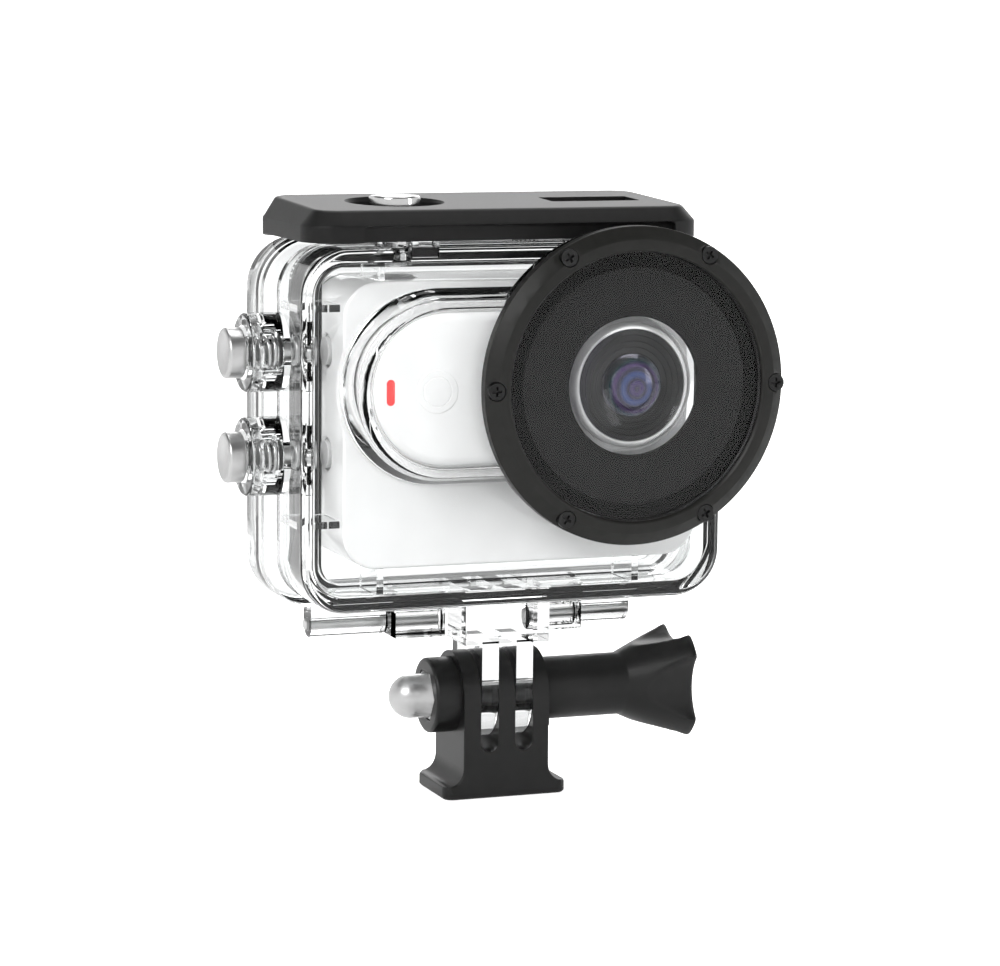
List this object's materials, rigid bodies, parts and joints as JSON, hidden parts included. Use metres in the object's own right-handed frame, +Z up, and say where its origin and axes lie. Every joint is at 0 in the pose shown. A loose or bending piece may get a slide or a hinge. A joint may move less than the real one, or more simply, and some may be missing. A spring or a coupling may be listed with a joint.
{
  "type": "action camera",
  "caption": "Pill-shaped action camera in a charging pod, sealed in a clear dive housing with a round port, metal latch and hinged back, on a tilting tripod adapter.",
  "frame": {"origin": "mouth of the tripod thread, in the middle of the adapter's underside", "axes": "+X to the viewer's right when facing the lens, +Y from the lens towards the hinged back, +Z up; the adapter stands on Z = 0"},
  "size_m": [0.0917, 0.0386, 0.1028],
  "materials": {
    "black_plastic": "matt injection-moulded nylon",
    "brass_insert": "turned",
    "steel": "turned and lightly brushed",
    "steel_dark": "black-oxide screw heads",
    "spring_steel": "drawn wire",
    "clear_plastic": "polished clear polycarbonate",
    "ring_metal": "black anodised, satin",
    "plate_metal": "dark grey anodised, satin",
    "port_glass": "coated optical glass",
    "rubber_black": "silicone",
    "rubber_pale": "translucent silicone",
    "hood_black": "satin black",
    "white_plastic": "satin white",
    "grey_plastic": "satin grey",
    "display_glass": "black-backed cover glass",
    "display_panel": "flat panel",
    "battery_wrap": "foil pouch",
    "circuit_board": "solder mask",
    "gold_contact": "gold plated",
    "sensor": "bare sensor",
    "lens_black": "anti-reflection black",
    "lens_silver": "polished and anodised",
    "lens_glass": "multi-coated",
    "indicator_red": "light window"
  },
  "bodies": {
    "adapter": {"mount_base": "black_plastic", "thread_insert": "brass_insert", "cap_nut": "steel"},
    "thumb_screw": {"thumb_bolt": "steel_dark", "thumb_knob": "black_plastic"},
    "case": {"front_shell": "clear_plastic", "port_ring": "ring_metal", "port_glass": "port_glass", "port_o_ring": "rubber_black", "port_screws": "steel_dark", "port_hood": "hood_black", "hinge_pins": "steel", "latch_pin": "steel", "latch_spring": "spring_steel", "shutter_spring": "spring_steel", "shutter_o_ring": "rubber_black", "side_spring_upper": "spring_steel", "side_spring_lower": "spring_steel", "side_o_rings": "rubber_black", "pod_front_shell": "white_plastic", "pod_back_frame": "white_plastic", "pod_display_panel": "display_panel", "pod_display_glass": "display_glass", "pod_battery": "battery_wrap", "pod_main_board": "circuit_board", "pod_contacts": "gold_contact", "pod_speaker": "black_plastic", "camera_front_shell": "white_plastic", "camera_back_shell": "white_plastic", "camera_battery": "battery_wrap", "camera_board": "circuit_board", "sensor_board": "circuit_board", "image_sensor": "sensor", "lens_barrel": "lens_black", "lens_bezel": "lens_silver", "lens_cover": "lens_black", "lens_front_element": "lens_glass", "lens_inner_elements": "lens_glass", "indicator_light": "indicator_red"},
    "door": {"rear_door": "clear_plastic", "door_seal": "rubber_black", "door_pads": "rubber_pale"},
    "latch": {"latch_plate": "plate_metal"},
    "lock": {"lock_slider": "black_plastic"},
    "shutter": {"shutter_button": "steel", "shutter_clip": "spring_steel"},
    "side_upper": {"side_button_upper": "steel", "side_clip_upper": "spring_steel"},
    "side_lower": {"side_button_lower": "steel", "side_clip_lower": "spring_steel"},
    "pod_top": {"pod_top_button": "grey_plastic"},
    "pod_side_up": {"pod_side_button_upper": "grey_plastic"},
    "pod_side_low": {"pod_side_button_lower": "grey_plastic"},
    "camera_key": {"camera_button": "white_plastic"}
  },
  "joints": [
    {"name": "case_tilt", "type": "hinge", "parent": "adapter", "child": "case", "pos_m": [0, 0, 0.017], "axis": [1, 0, 0], "range_deg": [-90, 90]},
    {"name": "thumb_screw_turn", "type": "hinge", "parent": "adapter", "child": "thumb_screw", "pos_m": [0, 0, 0.017], "axis": [1, 0, 0], "continuous": true},
    {"name": "door_swing", "type": "hinge", "parent": "case", "child": "door", "pos_m": [0, 0.008, 0.029], "axis": [-1, 0, 0], "range_deg": [0, 90]},
    {"name": "latch_lift", "type": "hinge", "parent": "case", "child": "latch", "pos_m": [0, -0.012, 0.0971], "axis": [1, 0, 0], "range_deg": [0, 45]},
    {"name": "lock_slide", "type": "slide", "parent": "latch", "child": "lock", "axis": [1, 0, 0], "range_m": [0, 0.003]},
    {"name": "shutter_press", "type": "slide", "parent": "case", "child": "shutter", "axis": [0, 0, -1], "range_m": [0, 0.0016], "stiffness_N_per_m": 500, "springref_m": -0.0008, "deforming": ["shutter_spring"]},
    {"name": "side_press_upper", "type": "slide", "parent": "case", "child": "side_upper", "axis": [1, 0, 0], "range_m": [0, 0.002], "stiffness_N_per_m": 400, "springref_m": -0.0008, "deforming": ["side_spring_upper"]},
    {"name": "side_press_lower", "type": "slide", "parent": "case", "child": "side_lower", "axis": [1, 0, 0], "range_m": [0, 0.002], "stiffness_N_per_m": 400, "springref_m": -0.0008, "deforming": ["side_spring_lower"]},
    {"name": "pod_top_press", "type": "slide", "parent": "case", "child": "pod_top", "axis": [0, 0, -1], "range_m": [0, 0.0003]},
    {"name": "pod_side_press_upper", "type": "slide", "parent": "case", "child": "pod_side_up", "axis": [1, 0, 0], "range_m": [0, 0.0003]},
    {"name": "pod_side_press_lower", "type": "slide", "parent": "case", "child": "pod_side_low", "axis": [1, 0, 0], "range_m": [0, 0.0003]},
    {"name": "camera_key_press", "type": "slide", "parent": "case", "child": "camera_key", "axis": [0, 1, 0], "range_m": [0, 0.0003], "stiffness_N_per_m": 500, "springref_m": -0.0008}
  ],
  "couplings": [
    {"joint": "latch_lift", "follows": "door_swing", "ratio": 0.5},
    {"joint": "pod_top_press", "follows": "shutter_press", "ratio": 0.1875},
    {"joint": "pod_side_press_upper", "follows": "side_press_upper", "ratio": 0.15},
    {"joint": "pod_side_press_lower", "follows": "side_press_lower", "ratio": 0.15}
  ]
}
